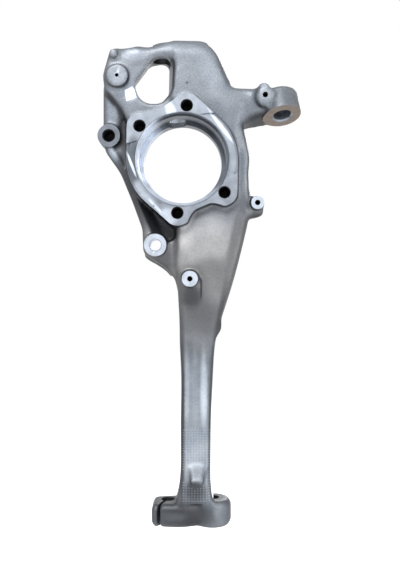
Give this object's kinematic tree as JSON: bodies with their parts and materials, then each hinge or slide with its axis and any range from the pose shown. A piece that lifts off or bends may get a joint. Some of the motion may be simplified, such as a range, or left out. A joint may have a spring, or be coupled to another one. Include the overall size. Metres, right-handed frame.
{
  "type": "steering knuckle",
  "caption": "Cast aluminium steering knuckle that carries a wheel bearing, with a long gooseneck to a forked head for two ball studs, a track rod arm and brake caliper ears.",
  "frame": {"origin": "centre of the wheel bearing's bolt circle, on the machined hub face", "axes": "-Y out of the hub face towards the wheel, +Z away from the gooseneck, +X towards the track rod eye. The picture looks along +Y. On the car the part hangs the other way up, with the gooseneck above the hub."},
  "size_m": [0.2317, 0.0856, 0.557],
  "materials": {
    "cast_aluminium": "as cast with machined faces"
  },
  "bodies": {
    "root": {"steering_knuckle": "cast_aluminium"}
  },
  "joints": []
}
